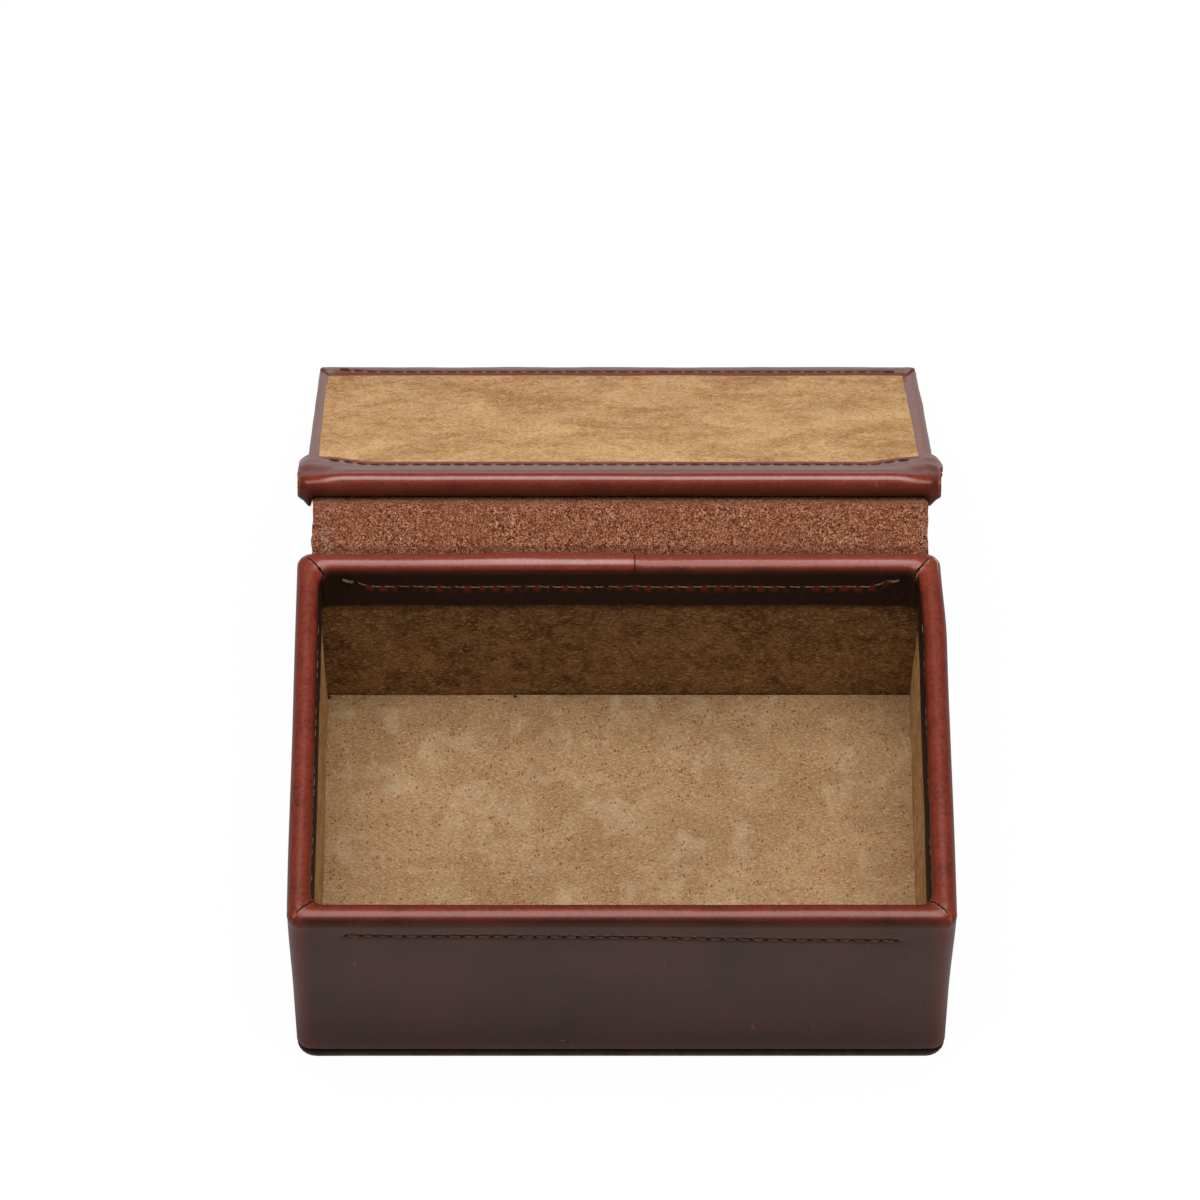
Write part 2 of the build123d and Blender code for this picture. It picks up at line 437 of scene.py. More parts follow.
def boxShade(x, y, z):
    # painted shade on the turned-in band below the rim, along the foot where it curls under,
    # and in the butt seam's gap; the lower outside grows darker towards the bottom
    inside = boxInside(x, y)
    outside = fade(z, 4.9, 4.2) * 0.6 + fade(z, 34, 8) * 0.25
    # painted shade in the butt seam's gap
    seamGapShade = fade(abs(x - buttSeam), 0.42, 0.12) * fade(y, 60, 64) * fade(z, 66, 68)
    dark = inside * fade(z, 88.5, 86) * 0.97 + (1 - inside) * outside
    return dark.maths("MAXIMUM", dark, seamGapShade)


def boxRaw(x, y, z):
    # the cut lips of the corner slits show pale
    offMitre = abs(abs(y) - abs(x) + (wallSize[0] - wallSize[1]) / 2)
    inset = wallSize[0] / 2 - abs(x)
    frontRight = fade(x, 104, 106) * fade(y, -68, -70) * 0.5
    return fade(offMitre, frontRight + 0.9, 0.35) * fade(inset, 0.2, 1.2) * fade(z, 84, 87) * 0.9


def onFrontFace(x, y, z):
    return fade(y, -77, -77.6)


def onNearRoll(x, y, z):
    return fade(y, 9, 8)


def boxPolish(x, y, z):
    inside = boxInside(x, y)
    rim = fade(z - fade(y, -74, -77) * 1.3, 86, 89)
    back = fade(y, 60, 74)
    inner = inside * fade(z, 90.9, 89.8)
    outerSide = fade(abs(x), 112.6, 114)
    rim = rim * (back * 0.8 + fade(y, -70, -60) * 0.15 + 0.15) * (1 - inner * 0.8) * (1 - outerSide * 0.9)
    return rim + (1 - rim) * (fade(z, 5, 65) * 0.1 + 0.05) * (1 - inside * 0.9)


def boxSeamLines(x, y, z):
    inside = boxInside(x, y)
    onSide = fade(abs(x), 107, 107.6)
    onFront = fade(y, -77, -77.4)
    climb = backClimb(x) * fade(y, 60, 62) * inside
    front = z - frontRow(x) + (1 - onFront) * awayFromHere
    inner = z - climb - boxSeams["height"] + (onSide - inside + 1) * awayFromHere
    side = z - boxSeams["height"] + (1 - onSide + onFront) * awayFromHere
    return [(front, x, boxSeams["front"], 0, 1), (inner, x, boxSeams["back"], 0.42, 2.6),
            (side, y, boxSeams["side"], 0.3, 1.4)]


lidSeams = {"near": 16.35, "far": 145.75, "ends": 105, "nearRise": 7, "farRise": 3.2, "bend": 90}
lidLength = 156
lidAside = (-0.45, -0.6)  # the lid sits a little to the left of the box, more at its free end


def skewAt(s):
    return s * (lidAside[1] / lidLength) + lidAside[0]


def nearRow(x):
    # the near stitch row climbs towards the corners
    return fade(abs(x), lidSeams["bend"], lidSeams["ends"] + 1) * lidSeams["nearRise"] + lidSeams["near"]


def farRow(x):
    # the far one only at its left end
    return fade(x, -lidSeams["bend"], -lidSeams["ends"] - 1) * lidSeams["farRise"] + lidSeams["far"]


def lidLips(x, y, z):
    # the bands' edges beside the suede
    near, far = y - nearRow(x), y - farRow(x)
    lips = fade(near, 0.3, 1.1) * fade(y, 50, 45) + fade(far, -0.6, -1.4) * fade(y, 130, 135)
    return lips * fade(z, 7, 8) * fade(abs(x), 108.5, 107)


def lidAcross(x, y):
    # distance from the lid's middle line
    return abs(x + 0.5 + y * 0.004)


def lidWear(x, y, z):
    top = fade(z, 6.5, 9.4)
    near = fade(y, 9.2, 7.2) * top * 0.95 + fade(y, 6, 4) * fade(z, 1.6, 4.2) * (1 - top) * 0.5
    lip = lidLips(x, y, z)
    far = fade(y, 149, 153) * 0.7
    side = fade(lidAcross(x, y), 108.5, 110.5) * fade(y, 28, 32) * 4.0
    ears = fade(abs(x), 107, 112) * fade(y, 16, 9)
    return (near + far + side + lip + 0.8 * top) * (1 - ears * 0.5)


def lidPolish(x, y, z):
    ears = fade(abs(x + 0.5), 102, 108) * fade(y, 16, 9)
    rubbed = fade(lidAcross(x, y), 109.8, 111.6) * fade(y, 28, 32) * 0.4
    turning = fade(y, 9.4, 7.8) * fade(y, 4, 5.4) * fade(z, 7, 8) * 0.7
    under = fade(abs(x), 109, 110) * fade(z, 2, 0) * fade(y, 28, 22) * 0.95
    onEars = ears * (0.93 - fade(z, 8.6, 9.6) * 0.25)
    shine = fade(z, 4, 8) * 0.47 + 0.4 + fade(y, 138, 143) * fade(z, 7, 8) * 0.12
    shine = shine * (1 - lidLips(x, y, z) * 0.95) * (1 - onEars)
    return shine * (1 - rubbed) * (1 - turning) * (1 - under)


def lidShade(x, y, z):
    # painted shade underneath the roll, beside the hinge strip
    return fade(z, 1.7, 0.6) * fade(y, 11, 8) * fade(abs(x + 0.5), 110.6, 109.8) * 0.97


def lidRaw(x, y, z):
    # the cut ends of the ears
    ends = fade(abs(x + 0.5), 114.0, 114.9) * fade(y, 28, 24)
    gaps = fade(abs(abs(x + 0.5) - 107.4), 0.7, 0.3) * fade(abs(y - 29.5), 2.2, 1.4)
    return (ends + gaps) * fade(z, -1, 1) * 0.8


def lidSeamLines(x, y, z):
    inside = fade(z, 7, 8)
    near, far = [y - row(x) + (1 - inside) * awayFromHere for row in (nearRow, farRow)]
    under = y - lidSeams["far"] + inside * awayFromHere
    along = x - skewAt(y)
    return [(near, along, lidSeams["ends"], 0.8, 1.1), (far, along, lidSeams["ends"], 0.8, 1.1),
            (under, along, lidSeams["ends"], 0, 1)]


def noSeams(x, y, z):
    return []


def dull(x, y, z):
    return 0.3


frontMarks = [((-92.9, 62), (1.0, 2.2)), ((46.6, 20), (1.1, 2.6)), ((-20.6, 11), (1.5, 0.9))]
rollMarks = [((91.6, 7.3), (0.9, 1.7)), ((-23.7, 10.2), (1.3, 0.6)), ((86, 2.2), (1.2, 0.6)),
             ((15, 5), (0.8, 0.8))]
boxLeather = leather("boxLeather", objectPlace, boxWear, boxSeamLines, boxPolish, boxShade, frontMarks,
                     onFrontFace, boxRaw)
lidLeather = leather("lidLeather", lidCoordinates, lidWear, lidSeamLines, lidPolish, lidShade, rollMarks,
                     onNearRoll, lidRaw)


def cutEdge(name, low, high, stain, shadeAbove=1000):
    # raw cut edge of the leather, with painted shade above a level
    material, shade = startMaterial(name)
    place = objectPlace(shade)
    fibre = cloud(place, 0.5, 4, 0.7)
    patches = cloud(place, 4, 3)
    level = parts(place)[2]
    colour = layColours(low, (fade(fibre, 0.3, 0.7), high), (fade(patches, 0.4, 0.7) * 0.6, stain),
                        (fade(level, shadeAbove - 0.8, shadeAbove) * 0.85, leatherTones["shaded"]))
    finishMaterial(shade, colour, 0.8 + (fibre - 0.5) * 0.2, bump(shade, fibre, 0.25), 0.3)
    return material


rawEdge = cutEdge("rawEdge", rgb(86, 42, 26), rgb(152, 100, 64), rgb(116, 50, 32))
# the base's edge is greyish, partly its own colour and partly a painted reflection of the pale floor,
# with painted shade towards its top edge, in the gap under the wall cover
baseEdge = cutEdge("baseEdge", rgb(70, 54, 45), rgb(140, 120, 106), rgb(74, 50, 40), 2.2)

# suede
plainSuede = {
    "poreSize": 0.2, "poreEvery": 8, "poreAmount": 0.3, "fuzz": 0.7, "cloudSize": 18, "bloom": 0,
    "bloomTone": rgb(216, 196, 162), "shadeUnderBand": 0, "specks": (),
}
# one suede throughout: the back lining's darker tones are partly its own and partly painted shade,
# the lid's lighter ones partly its own and partly painted sheen
suedeTones = {
    "floorSuede": {
        "light": rgb(176, 141, 101), "dark": rgb(150, 116, 80), "low": rgb(122, 86, 53),
        "high": rgb(206, 174, 132), "pore": rgb(128, 66, 27), "poreSize": 0.4, "poreEvery": 3.5,
        "poreAmount": 0.85, "nap": (0.7, 1.3, 1), "combed": (0, 0, 0.7), "napSize": 0.8, "hairs": 0.15,
        "cloudSize": 30, "bloom": 0.3, "specks": ((-38.5, 70.2, 1.3), (-18.6, 7.3, 0.6), (-107, 70, 2.2))},
    "backSuede": {
        "light": rgb(136, 100, 60), "dark": rgb(94, 61, 34), "low": rgb(50, 27, 14),
        "high": rgb(212, 168, 112), "pore": rgb(60, 36, 20), "nap": (0.6, 0.8, 1.1),
        "combed": (0, 0.25, 0), "napSize": 1.0, "fuzz": 0.6, "hairs": 0.4, "shadeUnderBand": 0.75},
    "sideSuede": {
        "light": rgb(212, 168, 112), "dark": rgb(170, 126, 80), "low": rgb(110, 74, 42),
        "high": rgb(236, 200, 148), "pore": rgb(70, 42, 24), "nap": (0.8, 0.55, 1.1),
        "combed": (0.25, 0, 0), "napSize": 1.5, "fuzz": 0.5, "hairs": 0.25, "shadeUnderBand": 0.4},
    "lidSuede": {
        "light": rgb(244, 195, 139), "dark": rgb(187, 133, 80), "low": rgb(144, 93, 50),
        "high": rgb(254, 218, 166), "pore": rgb(112, 66, 36), "poreSize": 0.32, "poreEvery": 4.2,
        "poreAmount": 0.6, "nap": (0.65, 1.1, 1), "combed": (0, 0, 0.08), "napSize": 0.9, "hairs": 0.2,
        "cloudSize": 24, "bloom": 0.2, "specks": ((-6.3, 131.5, 0.7), (34, 112, 0.8))},
}


def suede(name, placer):
    tones = {**plainSuede, **suedeTones[name]}
    material, shade = startMaterial(name)
    place = placer(shade)
    x, y, z = parts(place)
    clouds = cloud(stretched(place, (0.7, 1, 1)), tones["cloudSize"], 4, 0.62, 0.8)
    patches = cloud(place, 5, 4, 0.6)
    combed = stretched(place, tones["nap"], tones["combed"])
    nap = cloud(combed, tones["napSize"], 3, 0.72, 0.8)
    curls = cloud(combed, tones["napSize"] * 2, 3, 0.6, 2.5)
    hairs = fade(abs(curls - 0.5), 0.03, 0.008) * fade(patches, 0.4, 0.6)
    bloom = cloud(place, 13, 4, 0.55, 0.7)
    colour = layColours(
        tones["dark"], (fade(clouds * 0.55 + patches * 0.45, 0.36, 0.64), tones["light"]),
        (fade(nap, 0.54, 0.32) * tones["fuzz"], tones["low"]),
        (fade(nap, 0.5, 0.7) * tones["fuzz"], tones["high"]), (hairs * tones["hairs"], tones["high"]),
        (fade(bloom, 0.46, 0.78) * tones["bloom"], tones["bloomTone"]),
        # painted shade at the top of the back and side linings, under the band
        (fade(z, 60.5, 66.5) * tones["shadeUnderBand"], tones["low"]))
    # pigskin pores lie in small groups
    pores = None
    for shift in ((0, 0, 0), (1.3, 0.4, 0.3), (0.5, -1.5, 0.9)):
        moved = place.node("VectorMath", {"operation": "ADD"}, {0: place, 1: Vector(shift) * mm})
        cells = moved.node("TexVoronoi", {}, {"Vector": stretched(moved, (1.15, 0.85, 1), (0, 0, 0.6)),
                                              "Scale": 1 / (tones["poreEvery"] * mm)})
        reach = tones["poreSize"] / tones["poreEvery"]
        near = fade(cells, reach * 1.6, reach * 0.5)
        pores = near if pores is None else pores.maths("MAXIMUM", pores, near)
    pores = pores * fade(patches, 0.3, 0.5)
    colour = mixColour(pores * tones["poreAmount"], colour, tones["pore"])
    for left, back, size in tones["specks"]:
        spot = fade(abs(x - left) + abs(y - back) + (nap - 0.5) * size, size, size * 0.4)
        colour = mixColour(spot * 0.9, colour, leatherTones["hole"])
    normal = bump(shade, nap * 0.6 + patches * 0.5 + hairs * 0.15, 0.5, 0.9)
    normal = bump(shade, pores * -1, 0.05, 1, normal)
    finishMaterial(shade, colour, 0.95, normal, 0.12)
    return material


floorSuede = suede("floorSuede", objectPlace)
backSuede = suede("backSuede", objectPlace)
sideSuede = suede("sideSuede", objectPlace)
lidSuede = suede("lidSuede", lidCoordinates)


fleshTones = {
    "stops": ((0, rgb(26, 10, 6)), (0.38, rgb(90, 42, 27)), (0.55, rgb(158, 88, 60)),
              (0.8, rgb(242, 174, 132))),
    "patch": rgb(150, 80, 54), "low": rgb(70, 30, 20), "glue": rgb(214, 190, 172), "curls": 1.25,
    "tufts": 0.6, "patches": 14, "relief": 1.3, "glueSpots": ((-105.5, 3.4, 0.8, 1), (108.5, 1.6, 0.4, 0.6)),
}


def fleshSide(name):
    # rough underside of the hinge leather: matted curly fibres, with old glue near its ends
    material, shade = startMaterial(name)
    place = objectPlace(shade)
    curls = cloud(place, fleshTones["curls"], 3, 0.75, 2.2)
    tufts = cloud(place, fleshTones["tufts"], 3, 0.7, 1.5)
    patches = cloud(place, fleshTones["patches"], 3, 0.6)
    height = curls * 0.6 + tufts * 0.5
    colour = shade.node("ValToRGB", {"stops": fleshTones["stops"]}, {"Fac": fade(height, 0.36, 0.74)})
    x, y, z = parts(place)
    uneven = (curls - 0.5) * 3
    left, right = [fade(abs(x - spot + uneven), wide, narrow) * amount
                   for spot, wide, narrow, amount in fleshTones["glueSpots"]]
    glue = (left + right) * fade(abs(z - 88.5), 7, 3) * fade(tufts, 0.52, 0.62)
    # painted shade on the strip below about 87 mm, where it lies against the back rim and wall
    colour = layColours(
        colour, (fade(patches, 0.4, 0.65) * 0.35, fleshTones["patch"]),
        (fade(z, 88.6, 86.8) * 0.4, fleshTones["low"]), (glue * 0.65, fleshTones["glue"]))
    finishMaterial(shade, colour, 0.9, bump(shade, height, fleshTones["relief"]), 0.2)
    return material


hingeFlesh = fleshSide("hingeFlesh")


def hingeWear(x, y, z):
    return fade(abs(x), 108, 111) * 0.6


hingeGrain = leather("hingeGrain", objectPlace, hingeWear, noSeams, dull)


threadTones = {"dark": rgb(48, 28, 17), "light": rgb(122, 92, 52), "stained": rgb(56, 30, 20),
               "dry": rgb(170, 144, 98), "twist": 0.45, "stains": 6}


def waxedThread(name):
    material, shade = startMaterial(name)
    place = objectPlace(shade)
    twist = cloud(stretched(place, (1, 1, 1), (0, 0.6, 0.6)), threadTones["twist"], 3, 0.6, 0.3)
    stains = cloud(place, threadTones["stains"], 2)
    x, y, z = parts(place)
    dry = boxInside(x, y) * fade(z, 85.5, 84) * fade(twist, 0.42, 0.58)
    colour = layColours(
        threadTones["dark"], (fade(twist, 0.35, 0.7), threadTones["light"]),
        (fade(stains, 0.45, 0.7) * 0.5, threadTones["stained"]), (dry * 0.7, threadTones["dry"]))
    finishMaterial(shade, colour, 0.6, bump(shade, twist, 0.25), 0.4)
    return material


thread = waxedThread("waxedThread")


def pressedBoard(name, light, dark):
    material, shade = startMaterial(name)
    place = objectPlace(shade)
    fibre = cloud(stretched(place, (0.3, 1, 1)), 1.4, 4, 0.6)
    colour = mixColour(fade(fibre, 0.3, 0.7), dark, light)
    finishMaterial(shade, colour, 0.85, bump(shade, fibre, 0.15))
    return material


boardMaterial = pressedBoard("boardFibre", rgb(178, 150, 116), rgb(140, 112, 82))
cardMaterial = pressedBoard("cardFibre", rgb(186, 178, 162), rgb(150, 142, 126))
for name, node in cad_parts.items():
    plain = cardMaterial if name == "floor_card" else boardMaterial
    if not node.material_slots:
        paint(node, plain)
    for holder in node.material_slots:
        holder.material = plain
print("materials made")


# wall cover: one strip of leather round the box, rolled over the rim and slit at the corners
wall = {
    "width": wallSize[0], "depth": wallSize[1], "foot": 3.6, "shoulder": 80.4, "corner": 5, "cornerSteps": 8,
    "roll": 4.3, "rollCentre": (3.6, 86.7), "rollSteps": 14, "turned": 7, "thick": 1.75, "column": 2.5,
    "rows": (4, 4.7, 5.6, 8, 14, 22, 30, 38, 46, 54, 62, 68, 73, 75.6, 76.6, 77.2, 77.7, 78.2, 78.8, 79.5),
    "swell": ((-0.08, 82), (-0.3, 84), (-0.55, 85.4)), "innerSwell": ((7.75, 85.4), (7.45, 84), (7.12, 82)),
    "innerRows": (80.4, 79.5, 78.8, 78.2, 77.7, 77.2, 76.6, 75.6, 73, 69.5, 66),
    "footCurl": 0.9, "top": 91.05, "groove": 0.28, "dimple": 0.3, "slitGap": 0.42, "seamGap": 0.16,
    "seamPinch": 0.35, "backFace": 78, "drawnIn": 1.6, "narrower": (0.45, 0.15), "bandLean": (1.0, 1.5),
    "rimSway": 0.35, "rimDrop": 0.3, "rimStep": (0.45, -0.4), "faceSway": 0.3, "belly": 0.6,
}


def rollRing(rise, insetBefore, insetAfter):
    # the next ring of the rim: up or down, and in
    pull(z=rise)
    factors = [(half - insetAfter) / (half - insetBefore) for half in (wall["width"] / 2, wall["depth"] / 2)]
    bpy.ops.transform.resize(value=(*factors, 1), center_override=(0, 0, 0))


def rimRings():
    # (inset, level) of each ring: the swell below the rim, the roll itself, and down the inside
    centre, low = wall["rollCentre"]
    turns = [math.pi * step / wall["rollSteps"] for step in range(wall["rollSteps"] + 1)]
    roll = [(centre - wall["roll"] * math.cos(turn), low + wall["roll"] * math.sin(turn)) for turn in turns]
    return [*wall["swell"], *roll, *wall["innerSwell"], *((wall["turned"], row) for row in wall["innerRows"])]


def insetOf(place):
    # how far inside the box's outline a place on a corner's middle line lies, seen along each side
    reach = wall["corner"] * (1 - math.sqrt(0.5))
    return [half * (1 - abs(v) / (half - reach)) for half, v in
            ((wall["width"] / 2, place.x), (wall["depth"] / 2, place.y))]


def isOnMitre(place):
    # the corner's middle line, from just inside the rim's outer edge to the foot of the turn-in
    across, along = insetOf(place)
    return abs(across - along) < 0.05 and across > 0.9 and place.z > wall["innerRows"][-1] - 1


def isOnSeam(place):
    return abs(place.x - buttSeam) < 0.01 and place.y > 0


def isCut(edge):
    places = [vertex.co / mm for vertex in edge.verts]
    return all(map(isOnMitre, places)) or all(map(isOnSeam, places))


def spreadSlits(mesh):
    # the two lips of each cut part a little, unevenly
    for vertex in mesh.verts:
        if not vertex.is_boundary:
            continue
        place = vertex.co / mm
        if not (isOnSeam(place) or isOnMitre(place)):
            continue
        around = vertex.link_faces
        facing = sum((face.calc_center_median() for face in around), Vector()) / len(around)
        toward = facing / mm - place
        if isOnSeam(place):
            side = Vector((math.copysign(1, toward.x), 0, 0))
            gap = wall["seamGap"] * (1 + 0.5 * wander(place.z, side.x * 9, size=3))
        else:
            tangent = Vector((-math.copysign(1, place.y), math.copysign(1, place.x), 0)) / math.sqrt(2)
            side = tangent * math.copysign(1, toward.dot(tangent))
            across = insetOf(place)[0]
            uneven = 1 + 0.8 * wander(across * 3, place.z, side.x * 9, size=2.2)
            gap = wall["slitGap"] * fade(across, 0.5, 2.5) * uneven
        vertex.co += side * gap * mm


def wallShape(place, normal):
    shift, push = Vector((0, 0, 0)), 0.0
    x, y, z = place
    inside = abs(x) < 111 and abs(y) < 74
    high = fade(z, 80, 89)
    # the back lies flat against the hinge strip, and its right corner is drawn in
    if y > wall["backFace"]:
        shift.y = wall["backFace"] - y
    if x > 100:
        shift.x += (0.2 - wall["drawnIn"] * fade(y, 40, wall["backFace"])) * fade(z, 60, 85)
    # the side rims are narrower than the front and back ones, and the turned-in band below them leans in
    if 104 < abs(x) and abs(y) < 74:
        middling = fade(abs(y), 71, 62)
        width = fade(wall["width"] / 2 - abs(x), 3, 7.9) * fade(z, 79.5, 84)
        shift.x += math.copysign(wall["narrower"][x > 0] * width * middling, x)
        if abs(x) < 111:
            shift.x -= math.copysign(wall["bandLean"][x > 0] * fade(z, 80, 70) * middling, x)
    # the rim rises and falls; beside the back seam the left part stands higher
    lift = wall["rimSway"] * wander(x, y, size=55, seed=3) - wall["rimDrop"]
    if y > 60:
        left, right = wall["rimStep"]
        step = left * fade(x, -60, 0) if x < buttSeam - 0.01 else right + 0.2 * fade(x, 60, 110)
        lift += step * fade(y, 60, 72)
    shift.z += lift * high
    if not inside:
        push += wall["faceSway"] * wander(x, y, z, size=48, seed=1) * fade(z, 3, 20)
        push += wall["belly"] * fade(z, 35, 80) * fade(z, wall["rollCentre"][1], wall["shoulder"]) * (y < 77)
        if z < 5.6:
            corner = fade(abs(x) + abs(y), 184, 190)
            push -= wall["footCurl"] * (1 + corner) * ((5.6 - z) / 2.1) ** 2
    else:
        push += 0.25 * wander(x, y, z, size=36, seed=5) * fade(90 - z, 6, 20)
        push -= 0.5 * fade(z, 69, 66)
    # stitch lines are pulled in, most at the holes
    if abs(y) > 70 and abs(x) < 105:
        along, ends = x, boxSeams["back"] if y > 0 else boxSeams["front"]
        row = frontRow(x) if y < -77 else boxSeams["height"] + backClimb(x) * (0 < y < 74)
    else:
        along, ends, row = y, boxSeams["side"], boxSeams["height"]
    if abs(along) < ends + 1 and abs(z - row) < 4 and not (y > 77):
        hole = abs((along + 1) % stitchPitch - 1) < 0.6
        push -= bellAt(z, row, 0.9) * (wall["groove"] + wall["dimple"] * hole)
    if y > 60:
        push -= wall["seamPinch"] * bellAt(x, buttSeam, 1.2)
    # nothing stands above the level that the closed lid comes down to
    shift.z -= max(z + shift.z + normal.z * push - wall["top"], 0) * 0.9
    return shift, push


def makeWallCover():
    height = wall["shoulder"] - wall["foot"]
    piece = newCube("wallCover", (wall["width"], wall["depth"], height), (0, 0, wall["foot"] + height / 2))
    openMesh(piece, "FACE")
    selectWhere("faces", lambda face: abs(face.normal.z) > 0.9)
    bpy.ops.mesh.delete(type="FACE")
    bpy.ops.mesh.select_mode(type="EDGE")
    selectWhere("edges", lambda edge: climbs(edge) > 10)
    roundOff(wall["corner"], wall["cornerSteps"])
    across = [n * wall["column"] for n in range(-43, 44)]
    sliceAt(0, across)
    sliceAt(1, [place for place in across if abs(place) < 73])
    sliceAt(2, wall["rows"])
    selectWhere("edges", lambda edge: edge.is_boundary and middle(edge).z > wall["shoulder"] - 0.1)
    inset, level = 0, wall["shoulder"]
    for nextInset, nextLevel in rimRings():
        rollRing(nextLevel - level, inset, nextInset)
        inset, level = nextInset, nextLevel
    selectWhere("edges", isCut)
    bpy.ops.mesh.edge_split(type="EDGE")
    mesh = bmesh.from_edit_mesh(piece.data)
    spreadSlits(mesh)
    bmesh.update_edit_mesh(piece.data)
    closeMesh()
    reshape(piece, wallShape)
    paint(piece, boxLeather, rawEdge)
    thicken(piece, wall["thick"], offset=-1, backSlot=0, edgeSlot=1)
    smooth(piece, 50)
    return piece


wallCover = makeWallCover()
handOver(wallCover, "cover_leather", "box", "wall_cover")
print("wall cover:", len(wallCover.data.polygons), "faces")

# base cover
base = {"thick": 2.45, "corner": 7, "edge": 0.4, "cell": 12, "sway": 0.12}


def makeBaseCover():
    piece = newCube("baseCover", (wall["width"], wall["depth"], base["thick"]), (0, 0, base["thick"] / 2))
    openMesh(piece)
    selectWhere("edges", lambda edge: climbs(edge) > 1)
    roundOff(base["corner"], 6)
    selectWhere("edges", lambda edge: climbs(edge) < 0.1)
    roundOff(base["edge"])
    sliceAt(0, [n * base["cell"] for n in range(-9, 10)])
    sliceAt(1, [n * base["cell"] for n in range(-6, 7)])
    closeMesh()

    def settle(place, normal):
        return (0, 0, 0), base["sway"] * wander(place.x, place.y, size=30) * (normal.z > -0.5)

    reshape(piece, settle)
    paint(piece, boxLeather, baseEdge)
    for face in piece.data.polygons:
        face.material_index = int(face.normal.z > -0.6)
    smooth(piece)
    return piece


handOver(makeBaseCover(), "cover_leather", "box", "base_cover")
print("base cover made")

# lining: four suede panels and the loose floor panel
alongWall, acrossWall = (219.4, 1.5, 60.7), (1.5, 142.4, 60.7)
lining = {
    "frontLining": {"node": "front_lining", "size": alongWall, "centre": (0, -72, 35.6), "suede": sideSuede},
    "backLining": {"node": "back_lining", "size": alongWall, "centre": (0, 72, 35.6), "suede": backSuede},
    "leftLining": {"node": "left_lining", "size": acrossWall, "centre": (-109, 0, 35.6), "suede": sideSuede,
                   "lean": (0.7, 1.5)},
    "rightLining": {"node": "right_lining", "size": acrossWall, "centre": (109, 0, 35.6), "suede": sideSuede,
                    "lean": (1.1, 2.6)},
    "floorLining": {"node": "floor_lining", "size": (215.7, 141.7, 1.5), "centre": (0, 0, 9),
                    "suede": floorSuede},
}
liningCell, liningEdge = 4, 0.45


def makeLining(name):
    panel = lining[name]
    piece = newPanel(name, panel["size"], panel["centre"], liningEdge, liningCell)
    face = Vector([(-1 if v > 0 else 1) * (s < 2) for v, s in zip(panel["centre"], panel["size"])])
    if name == "floorLining":
        face = Vector((0, 0, 1))

    def settle(place, normal):
        if normal.dot(face) < 0.3:
            return (0, 0, 0), 0
        edge = min(s / 2 - abs(v - c) for v, c, s in zip(place, panel["centre"], panel["size"]) if s > 4)
        push = 0.3 * wander(*place, size=30, seed=7) - 0.15 - 0.35 * fade(edge, 3.5, 0)
        top, foot = panel.get("lean", (0, 0))
        return (0, 0, 0), push + top + (foot - top) * fade(place.z, 68, 8)

    reshape(piece, settle)
    paint(piece, panel["suede"])
    smooth(piece)
    return piece


for name in lining:
    handOver(makeLining(name), "suede", "box", lining[name]["node"])
print("lining made")

# lid cover: the outer face with both long edges rolled over, their ends left as ears
lid = {
    "half": 112.6, "flat": 110.8, "thick": 10.5, "leather": 1.75, "top": 10.55, "bandDrop": 0.2,
    "nearBelly": ((9, 7), (7.6, 7)), "nearLip": ((4, 8.0), 2.55), "bottomLift": 0.75, "lobe": 3.0,
    "nearBand": (5, 6.5, 8, 9.5, 11, 12.5, 13.8, 14.8, 15.5, 16, 16.5, 17, 17.6, 18.6, 19.7),
    "farRound": 5.25, "farOver": 0.25, "lipCurl": 0.4,
    "farBand": (149.7, 149, 148.3, 147.6, 147, 146.4, 145.9, 145.4, 144.9, 144.2, 143.4, 142.5, 141.6),
    "outerRows": (10, 16, 24, 34, 46, 58, 70, 82, 94, 106, 118, 130, 140, 144.2, 145, 145.75, 146.5, 147.3),
    "earFoot": (16, 150.7), "nearEar": (111.4, 112.4, 113.4, 114.4, 115.4),
    "farEar": (111.4, 112.2, 112.5, 112.8), "gather": 0.88, "mitre": (108.4, 0.33), "blunt": 2.2,
    "sideRound": 1.8, "sideTop": 9.7, "sideBand": (109.5, 108, 106.8), "rightOut": 1.1,
}


def nearBandEdge(x):
    over = abs(x)
    edge = lid["nearBand"][-1] + 6.5 * fade(over, 88, 106) + 4.0 * fade(over, 107, 109.5)
    edge += 0.3 * wander(x, size=25, seed=4)
    outward = max((over - lid["flat"]) / (lid["nearEar"][-1] - lid["flat"]), 0)
    return edge - (7 if x < 0 else 13) * outward ** 3


def arc(centre, size, fromTurn, toTurn, steps):
    # points of an ellipse, its turn in degrees from the direction of the outer face
    turns = [math.radians(fromTurn + (toTurn - fromTurn) * n / steps) for n in range(1, steps + 1)]
    return [(centre[0] - size[0] * math.sin(t), centre[1] - size[1] * math.cos(t)) for t in turns]


def nearRollSteps():
    (belly, bellySize), (lip, lipSize) = lid["nearBelly"], lid["nearLip"]
    path = arc(belly, bellySize, 0, 90, 9) + [(belly[0] - bellySize[0], 7.6)]
    path += arc(lip, (lipSize, lipSize), 90, 180, 9)
    return path + [(row, lid["thick"] + 0.05 * fade(row, 9, 4)) for row in lid["nearBand"]]


def farRollSteps():
    size = lid["farRound"]
    turns = [math.pi * n / 12 for n in range(1, 13)]
    start = lidLength - size
    path = [(start + (size + lid["farOver"]) * math.sin(t), size - size * math.cos(t)) for t in turns]
    return path + [(row, lid["thick"]) for row in lid["farBand"]]


